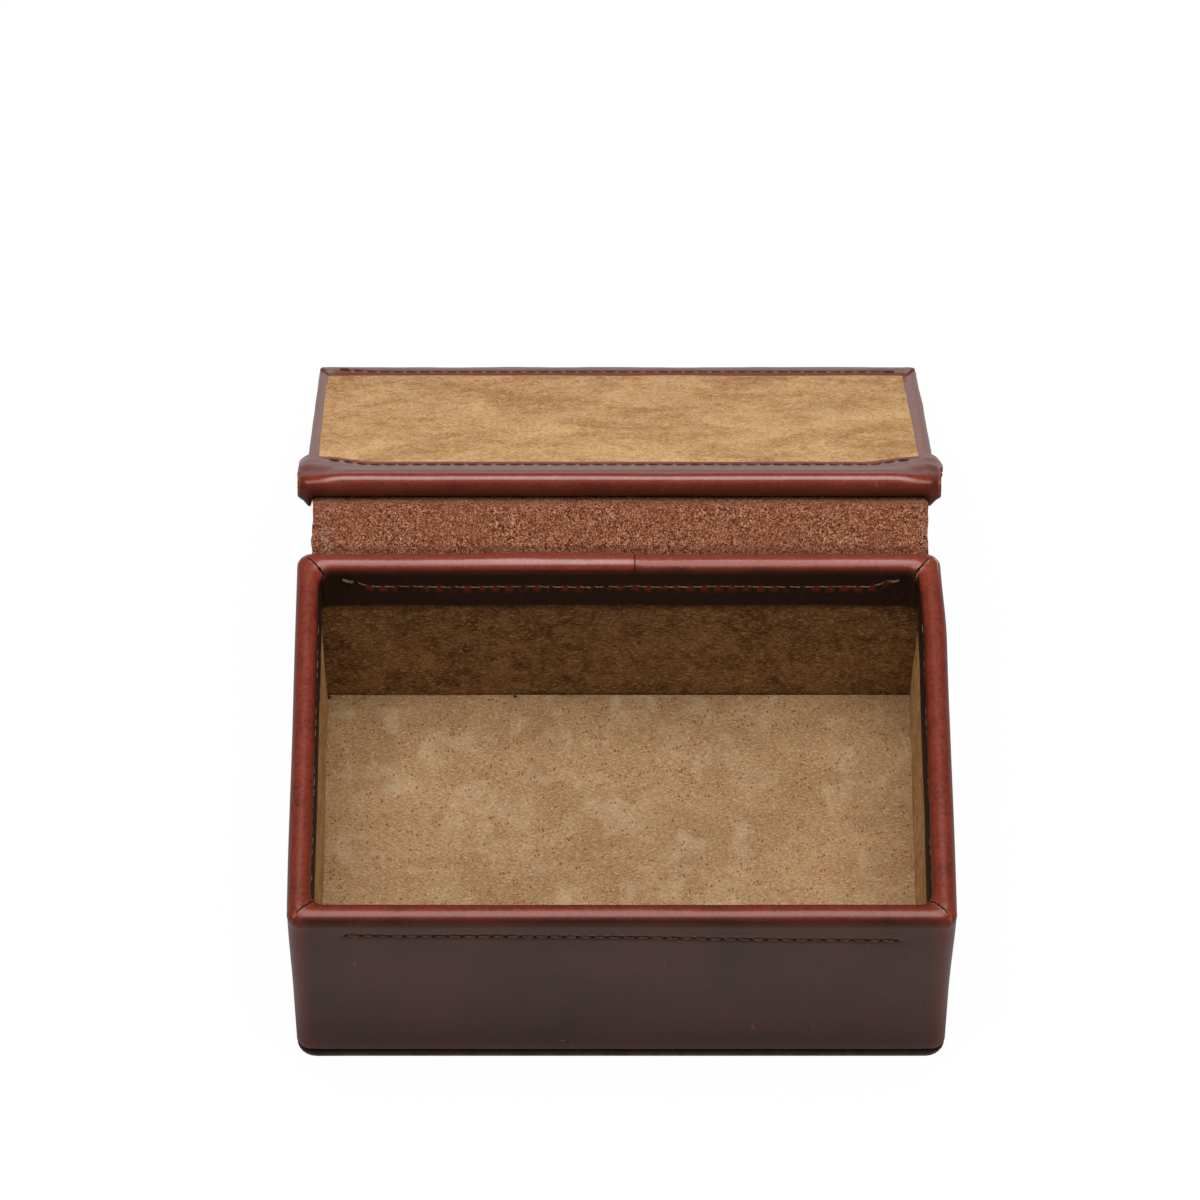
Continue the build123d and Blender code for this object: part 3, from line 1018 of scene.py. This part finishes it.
def sideSteps():
    size, top = lid["sideRound"], lid["sideTop"]
    quarter = [0.52, 1.05, math.pi / 2]
    low = [(lid["flat"] + size * math.sin(t), size - size * math.cos(t)) for t in quarter]
    high = [(lid["flat"] + size * math.cos(t), top - size + size * math.sin(t)) for t in [0, *quarter]]
    return low + [(lid["half"], 4), (lid["half"], 6)] + high + [(place, top) for place in lid["sideBand"]]


def sweep(start, path, turn):
    # extrudes the selected edges along a path of two coordinates; turn makes a move of them
    for place in path:
        pull(**turn(place[0] - start[0], place[1] - start[1]))
        start = place


def lidShape(place, normal):
    x, s, t = place
    over, side = abs(x), math.copysign(1, x)
    shift, push = Vector((skewAt(s), 0, 0)), 0.0
    onBand = t > lid["thick"] - 0.05
    ear, earTip = fade(over, 107, 112), lid["nearEar"][-1]
    first, last = lid["nearBand"][0], lid["nearBand"][-1]
    if onBand and first - 0.1 < s < 40:
        # the band widens towards the corners, and its ears are cut round
        shift.y += (s - first) * ((nearBandEdge(x) - first) / (last - first) - 1)
    if onBand and 120 < s < 150 and over > 104:
        # the far band ends in a mitre
        reach, slant = lid["mitre"]
        limit = reach + (s - lid["farBand"][-1]) * slant + 1.2 * fade(s, 148, 150)
        limit += 0.25 * wander(s, side, size=2)
        shift.x -= side * (over - 104) * (1 - (limit - 104) / (lid["farEar"][-1] - 104))
    if onBand:
        shift.z -= lid["bandDrop"] * (fade(s, 8, 12) if s < 60 else fade(s, 149, 146))
    if t < 7 and s < 24:
        # the underside of the roll is drawn up to the hinge strip, not at the ears
        lobe = fade(over, 110.2, lid["flat"]) * (1 - 0.6 * fade(over, 111.5, earTip))
        lift = lid["bottomLift"] * (1 - ear) - lid["lobe"] * lobe
        shift.z += lift * fade(s, 20, 9) * fade(t, 7, 1)
    if s < 20:
        # ears: pinched at the top, full at the middle, with a crease above the roll
        end = fade(over, 111.5, earTip)
        shift.x -= side * max(over - lid["flat"], 0) * 0.3 * fade(t, 2.5, 0)
        shift.y += (9 - s) * 0.14 * end * (s < 9)
        shift.z += (5.5 - t) * 0.12 * end
        drop = fade(over, 98, 113)
        shift.z -= 1.3 * drop * fade(t, 7.5, 10.4) * fade(s, 13, 4)
        shift.y += 0.9 * drop * fade(t, 6, 9.5) * fade(s, 6, 2)
        crease = bellAt(s, 8.2 + 0.12 * (over - 105), 1.1) * fade(over, 102, 107)
        push -= 0.8 * crease * (1 - fade(over, 113, earTip)) * onBand
        push += 0.4 * ear * wander(x, s, t, size=4, seed=1)
    if s > 150 and over > 109:
        # the far corners are blunt
        shift.y -= lid["blunt"] * fade(over, 109, 112.4) * fade(s, 150, 155)
        push += 0.25 * wander(x, s, t, size=3, seed=3)
    if s > 147.5 and over > 112.1 and not 0.1 < t < 10.4 or s > 150.8 and over > 112.1:
        # the roll's end closes on its middle
        close = lid["gather"] * fade(over, 112.1, 112.6) * fade(s, 147.5, 150.7)
        shift.x -= side * (over - 112) * 0.7 * close
        shift.y += (lidLength - lid["farRound"] - s - shift.y) * close
        shift.z += (lid["farRound"] - t - shift.z) * close
    if x > 0 and s > 15.9:
        # the right side stands out a little further
        shift.x += lid["rightOut"] * fade(over, 110, lid["half"]) * (1 - 0.5 * fade(s, 112, 146))
    if onBand and 130 < s < 146:
        # the far band's inner lip curls down onto the suede
        shift.z -= lid["lipCurl"] * fade(s, 144.3, lid["farBand"][-1])
    if over < 110.9 and (s < 9 or s > 151):
        push += 0.22 * wander(x, s, t, size=26, seed=2) + 0.1 * wander(x, s, t, size=7, seed=4)
    if t < 0.05:
        push += 0.25 * wander(x, s, size=40, seed=6) - 0.1
    elif 12 < s < 148 and over > 110.9:
        push += 0.22 * wander(x, s, t, size=16, seed=8) - 0.1
    if over <= lidSeams["ends"] + 0.6 and (onBand or t < 0.05):
        now = s + shift.y
        row = (nearRow(x) if s < 60 else farRow(x)) if onBand else lidSeams["far"]
        hole = abs((x + 1) % stitchPitch - 1) < 0.6
        push -= bellAt(now, row, 0.8) * (0.3 - 0.12 * hole if onBand else 0.25 + 0.25 * hole)
    shift.z -= max(t + shift.z + normal.z * push - lid["top"], 0) * 0.9
    return shift, push


def isOpenSide(edge, side):
    return edge.is_boundary and abs(middle(edge).x - side * lid["flat"]) < 0.01


def isWrap(edge):
    # the part of a side that is wrapped round the board, between the ears
    low, high = lid["earFoot"]
    return low < middle(edge).y < high and middle(edge).z < 0.01


def makeLidCover():
    near, far = lid["nearBelly"][0][0], lidLength - lid["farRound"]
    piece = newSheet("lidCover", (2 * lid["flat"], far - near), (0, (near + far) / 2, 0))
    openMesh(piece)
    bpy.ops.mesh.select_all(action="SELECT")
    bpy.ops.mesh.flip_normals()
    sliceAt(0, [n * 2.5 for n in range(-44, 45)])
    sliceAt(1, lid["outerRows"])
    selectWhere("edges", lambda edge: edge.is_boundary and middle(edge).y < near + 0.01)
    sweep((near, 0), nearRollSteps(), lambda a, b: {"y": a, "z": b})
    selectWhere("edges", lambda edge: edge.is_boundary and middle(edge).y > far - 0.01
                and middle(edge).z < 0.01)
    sweep((far, 0), farRollSteps(), lambda a, b: {"y": a, "z": b})
    for side in (-1, 1):
        selectWhere("edges", lambda edge: isOpenSide(edge, side) and isWrap(edge))
        sweep((lid["flat"], 0), sideSteps(), lambda a, b: {"x": side * a, "z": b})
        for ear, low, high in (("nearEar", 0, 30), ("farEar", 130, lidLength + 1)):
            selectWhere("edges", lambda edge: isOpenSide(edge, side) and not isWrap(edge)
                        and low < middle(edge).y < high)
            sweep((lid["flat"], 0), [(place, 0) for place in lid[ear]], lambda a, b: {"x": side * a})
    closeMesh()
    reshape(piece, lidShape)
    paint(piece, lidLeather, rawEdge)
    thicken(piece, lid["leather"], offset=-1, backSlot=0, edgeSlot=1)
    smooth(piece, 50)
    layOnLid(piece)
    return piece


lidCover = makeLidCover()
handOver(lidCover, "cover_leather", "lid", "lid_cover")
print("lid cover:", len(lidCover.data.polygons), "faces")

# inside the lid: the board, its edges rounded, and the suede panel
lidBoard = {"size": (220, 148, 6.2), "centre": (-0.7, 79, 5.7), "edge": 1.8, "cell": 1000}
lidPanel = {"rows": (19, 142.6), "sides": (-109.2, 108.5), "spread": (-0.9, -1.3), "top": 10.0,
            "thick": 1.3, "cell": 3, "edge": 0.4, "tuck": 0.9}


def makeLidBoard():
    piece = newPanel("lidBoard", *lidBoard.values())
    paint(piece, boardMaterial)
    smooth(piece)
    layOnLid(piece)
    return piece


def makeLidLining():
    (low, high), (left, right) = lidPanel["rows"], lidPanel["sides"]
    size = (right - left, high - low, lidPanel["thick"])
    centre = ((left + right) / 2, (low + high) / 2, lidPanel["top"] - lidPanel["thick"] / 2)
    piece = newPanel("lidLining", size, centre, lidPanel["edge"], lidPanel["cell"])

    def settle(place, normal):
        # the near edge follows the band, and the sides spread unevenly towards the free end
        follow = (nearBandEdge(place.x) - lidPanel["tuck"] - low) * fade(place.y, 45, low)
        along = (place.y - low) / (high - low)
        side = (place.x - centre[0]) / (size[0] / 2)
        spread = lidPanel["spread"][side > 0] * along * abs(side)
        uneven = 0.25 * wander(place.y, side, size=12, seed=6) * fade(abs(side), 0.9, 1)
        edge = min(size[0] / 2 * (1 - abs(side)), place.y - low, high - place.y)
        push = (0.2 * wander(*place, size=28, seed=9) - 0.25 * fade(edge, 2.5, 0)) * (normal.z > 0.3)
        return (spread + uneven + skewAt(place.y) * 0.4, follow, 0), push

    reshape(piece, settle)
    paint(piece, lidSuede)
    smooth(piece)
    layOnLid(piece)
    return piece


handOver(makeLidBoard(), "board", "lid", "lid_board")
handOver(makeLidLining(), "suede", "lid", "lid_lining")
print("lid board and lining made")

# hinge strip: one strip of leather, flesh side up, in two lengths that meet between its folds
hinge = {
    "half": 110.3, "thick": 1.75, "wallFold": (79.2, 85.0), "lidFold": (94.1235, 94.4707), "leafOut": 78.875,
    "wallRows": (69, 72, 75, 77.7, 80, 81.5, 82.7), "lidRows": (1, 3, 6, 9, 12, 15, 16.35, 18, 21, 24),
    "wallTurn": ((78.9, 83.8), (79.25, 84.8), (79.95, 85.6)), "spanFrom": 1.9, "spanTo": 1.6, "spanRows": 6,
    "column": 2.5, "edgeWander": 0.3, "leftBulge": 0.8, "zone": 3.2,
}


def hingePaths():
    # (y, z) down the back wall, over the wall's fold to the middle, and from there over the lid's fold
    wallFold, lidFold = Vector(hinge["wallFold"]), Vector(hinge["lidFold"])
    span = (lidFold - wallFold).normalized()
    half = (wallFold + lidFold) / 2
    count = hinge["spanRows"]
    spanStart, spanEnd = wallFold + span * hinge["spanFrom"], lidFold - span * hinge["spanTo"]
    lower = [Vector((hinge["leafOut"], z)) for z in hinge["wallRows"]]
    lower += [*map(Vector, hinge["wallTurn"]), spanStart]
    lower += [spanStart + (half - spanStart) * n / count for n in range(1, count + 1)]
    slope = math.radians(lidPlace["slope"])
    along, up = Vector((math.cos(slope), -math.sin(slope))), Vector((math.sin(slope), math.cos(slope)))
    corner = Vector(lidPlace["corner"][1:])
    upper = [half + (spanEnd - half) * n / count for n in range(count + 1)]
    upper += [lidFold - span * 0.7 - up * 0.12, lidFold + (along - span) * 0.12 - up * 0.3]
    upper += [lidFold + along * 0.9 - up * 0.1]
    upper += [corner + along * s - up * hinge["thick"] / 2 for s in hinge["lidRows"]]
    return lower, upper


def makeStrip(name, path):
    start, tip = path[:2]
    piece = newSheet(name, (2 * hinge["half"], (tip - start).length), (0, *((start + tip) / 2)),
                     math.atan2(tip.y - start.y, tip.x - start.x))
    openMesh(piece)
    sliceAt(0, [n * hinge["column"] for n in range(-44, 45)])
    selectWhere("edges", lambda edge: (middle(edge) - Vector((middle(edge).x, tip.x, tip.y))).length < 0.02)
    sweep((tip.x, tip.y), path[2:], lambda a, b: {"y": a, "z": b})
    closeMesh()

    def fray(place, normal):
        side = fade(abs(place.x), 104, 110.5) * math.copysign(1, place.x)
        run = place.y + place.z
        bow = -0.3 * bellAt(place.z, 90, 4)
        if place.x < 0:
            bow = hinge["leftBulge"] * bellAt(place.z, 88, 3) - 0.3
        wide = side * (hinge["edgeWander"] * wander(run, place.x, size=4, seed=5) + bow)
        flatness = fade(place.z, 80, 86) if place.y < 90 else 1
        return (wide, 0, 0), 0.12 * wander(place.x, run, size=14, seed=2) * flatness

    reshape(piece, fray)
    paint(piece, hingeFlesh, hingeGrain, rawEdge)
    thicken(piece, hinge["thick"], offset=0, backSlot=1, edgeSlot=2)
    smooth(piece, 60)
    return piece


def blendAt(piece, fold, before, after):
    # bakes the strip's placement into its mesh; the ends of a zone either side of the fold are worked out but
    # not used
    way = (after - before).normalized() * hinge["zone"]
    start, end = [(0, *((Vector(fold) + way * part) * mm)) for part in (-1, 1)]
    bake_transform(piece)


lowerPath, upperPath = hingePaths()
hingeLower = makeStrip("hingeLower", lowerPath)
hingeUpper = makeStrip("hingeUpper", upperPath)
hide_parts("hinge_wall_leaf", "hinge_span")
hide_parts("hinge_lid_leaf")
blendAt(hingeLower, hinge["wallFold"], lowerPath[6], lowerPath[11])
blendAt(hingeUpper, hinge["lidFold"], upperPath[5], upperPath[11])
print("hinge strip made")

# stitching: one waxed stitch, copied along every row
stitch = {
    "length": 4.5, "thick": 1.0, "height": 0.95, "dip": 0.75, "blunt": 0.7, "segments": 8, "rings": 7,
    "slant": -5, "rise": 0.42, "reach": 4, "inside": 0.62, "onLid": 0.55, "wave": 0.16, "beside": 0.5,
    "above": 0.2,
}


def makeStitch():
    selectOnly()
    bpy.ops.mesh.primitive_uv_sphere_add(segments=stitch["segments"], ring_count=stitch["rings"],
                                         radius=0.5 * mm, rotation=(0, math.radians(90), 0))
    piece = bpy.context.object
    bpy.ops.object.transform_apply()
    piece.scale = (stitch["length"], stitch["thick"], stitch["height"])
    bpy.ops.object.transform_apply()
    half = stitch["length"] / 2

    def bow(place, normal):
        # blunt ends that dip into their holes
        part = min(abs(place.x) / half, 1)
        longer = math.copysign(half * (part ** stitch["blunt"] - part), place.x)
        return (longer, 0, -stitch["dip"] * part ** 3), 0

    reshape(piece, bow)
    paint(piece, thread)
    for face in piece.data.polygons:
        face.use_smooth = True
    return piece


patternStitch = makeStitch()
shake = random.Random(11)


def sewRow(name, rows, body, node):
    # rows hold (place, next place, face direction, how full the thread lies) for each stitch
    stitches = []
    for place, ahead, face, full in rows:
        along = (ahead - place).normalized()
        up = (face - along * face.dot(along)).normalized()
        turn = Matrix((along, up.cross(along), up)).transposed().to_4x4()
        slant = Matrix.Rotation(math.radians(stitch["slant"] + shake.uniform(-3, 3)), 4, "Z")
        longer = shake.uniform(0.95, 1.05)
        grow = Matrix.Diagonal((longer, full * shake.uniform(0.9, 1.1), full * shake.uniform(0.9, 1.1), 1))
        copy = patternStitch.copy()
        copy.data = patternStitch.data.copy()
        bpy.context.collection.objects.link(copy)
        middlePlace = (place + ahead) / 2 + up * stitch["rise"] * full
        copy.data.transform(Matrix.Translation(middlePlace * mm) @ turn @ slant @ grow)
        stitches.append(copy)
    selectOnly(*stitches)
    bpy.ops.object.join()
    stitches[0].name = name
    handOver(stitches[0], "thread", body, node)


def straightRow(count, point, face, leatherPiece, full):
    # stitches between awl holes a pitch apart, lying on the leather; point turns a distance into a place
    face = Vector(face)

    def onLeather(along):
        spot = Vector(point(along))
        met, at, _, _ = leatherPiece.ray_cast((spot + face * stitch["reach"]) * mm, -face)
        return at / mm if met and (at / mm - spot).length < 2 * stitch["reach"] else spot

    holes = [onLeather((n - count / 2) * stitchPitch) for n in range(count + 1)]
    row = [(a, b, face, full) for a, b in zip(holes, holes[1:])]
    # the ends are sewn twice
    for a, b in ((holes[0], holes[1]), (holes[-2], holes[-1])):
        beside = (b - a).normalized().cross(face) * stitch["beside"] + face * stitch["above"]
        row.append((a + beside, b + beside, face, full))
    return row


def wave(along, seed):
    return stitch["wave"] * wander(along, size=9, seed=seed + 3)


def onLid(x, s, t):
    return lidMatrix.to_3x3() @ Vector((x + skewAt(s), s, t)) + Vector(lidPlace["corner"])


level = boxSeams["height"]
lidUp = lidMatrix.to_3x3() @ Vector((0, 0, 1))
inside, overLid = stitch["inside"], stitch["onLid"]
seamRows = (
    # piece, node, body, stitches, then for each face: where the row runs, the way it looks, on what, how full
    ("frontStitching", "front_stitching", "box", 38, (
        (lambda a: (a, -78, frontRow(a) + wave(a, 1)), (0, -1, 0), wallCover, 1),
        (lambda a: (a, -71, level + wave(a, 2)), (0, 1, 0), wallCover, inside))),
    ("backStitching", "back_stitching", "box", 40, (
        (lambda a: (a, 79.75, level + wave(a, 3)), (0, 1, 0), hingeLower, 1),
        (lambda a: (a, 71, level + backClimb(a) + wave(a, 4)), (0, -1, 0), wallCover, inside))),
    ("leftStitching", "left_stitching", "box", 22, (
        (lambda a: (-115, a, level + wave(a, 5)), (-1, 0, 0), wallCover, 1),
        (lambda a: (-108, a, level + wave(a, 6)), (1, 0, 0), wallCover, inside))),
    ("rightStitching", "right_stitching", "box", 22, (
        (lambda a: (115, a, level + wave(a, 7)), (1, 0, 0), wallCover, 1),
        (lambda a: (108, a, level + wave(a, 8)), (-1, 0, 0), wallCover, inside))),
    ("lidNearStitching", "lid_back_stitching", "lid", 42, (
        (lambda a: onLid(a, nearRow(a) + wave(a, 9), 10.5), lidUp, lidCover, overLid),
        (lambda a: onLid(a, lidSeams["near"], -1.75), -lidUp, hingeUpper, 1))),
    ("lidFarStitching", "lid_front_stitching", "lid", 42, (
        (lambda a: onLid(a, farRow(a) + wave(a, 10), 10.5), lidUp, lidCover, overLid),
        (lambda a: onLid(a, lidSeams["far"], 0), -lidUp, lidCover, 1))),
)
for name, node, body, count, faces in seamRows:
    sewRow(name, [one for face in faces for one in straightRow(count, *face)], body, node)
bpy.data.objects.remove(patternStitch)
print("stitching made")

# floor, light and camera
studio = {
    "aim": (-7.404, 119.81, 0), "distance": 2638.8, "pitch": 55, "lens": 213.34,
    "floor": (6000, 6000), "floorColour": (0.3, 0.29, 0.28, 1), "shadowShare": 0.12, "floorSeen": 1.1,
    "floorMirrored": 0.27, "boxSize": 1.15, "boxHeight": 1.2, "boxBack": -0.1, "boxPower": 18.5,
    "world": 0.15,
}


def seenDirectly(shade):
    # 1 for what the camera sees itself or through something clear
    toCamera, toClear = [shade.node("LightPath", {}, {}, output=name) for name in
                         ("Is Camera Ray", "Is Transmission Ray")]
    return toCamera.maths("MAXIMUM", toCamera, toClear)


def makeFloor():
    floor = newSheet("floor", studio["floor"], (0, 0, 0))
    material, shade = startMaterial("paleFloor")
    mirrored = shade.node("LightPath", {}, {}, output="Is Glossy Ray") * studio["floorMirrored"]
    seen = shade.maths("MAXIMUM", seenDirectly(shade), mirrored)
    plain = shade.node("BsdfDiffuse", {}, {"Color": studio["floorColour"]})
    white = shade.node("Emission", {}, {"Color": (1, 1, 1, 1), "Strength": studio["floorSeen"]})
    surface = shade.node("MixShader", {}, {0: seen * (1 - studio["shadowShare"]), 1: plain, 2: white})
    shade.node("OutputMaterial", {}, {"Surface": surface})
    paint(floor, material)


def makeWorld():
    world = bpy.data.worlds.new("studio")
    bpy.context.scene.world = world
    world.use_nodes = True
    world.node_tree.nodes.clear()
    shade = Wire(world.node_tree)
    strength = seenDirectly(shade) * (1 - studio["world"]) + studio["world"]
    background = shade.node("Background", {}, {"Color": (1, 1, 1, 1), "Strength": strength})
    last = world.node_tree.nodes.new("ShaderNodeOutputWorld")
    world.node_tree.links.new(background.socket, last.inputs["Surface"])


def makeLight():
    bpy.ops.object.light_add(type="AREA", location=(0, studio["boxBack"], studio["boxHeight"]))
    softbox = bpy.context.object
    softbox.name = "softbox"
    softbox.data.shape = "SQUARE"
    softbox.data.size = studio["boxSize"]
    softbox.data.energy = studio["boxPower"]


def makeCamera():
    pitch = math.radians(studio["pitch"])
    place = Vector(studio["aim"]) - Vector((0, math.cos(pitch), -math.sin(pitch))) * studio["distance"]
    bpy.ops.object.camera_add(location=place * mm, rotation=(math.radians(90) - pitch, 0, 0))
    camera = bpy.context.object
    camera.data.sensor_width = 36
    camera.data.lens = studio["lens"]
    camera.data.clip_end = 20
    bpy.context.scene.camera = camera


selectOnly()
makeFloor()
makeWorld()
makeLight()
makeCamera()
bpy.context.scene.view_settings.view_transform = "Standard"
print("studio made")
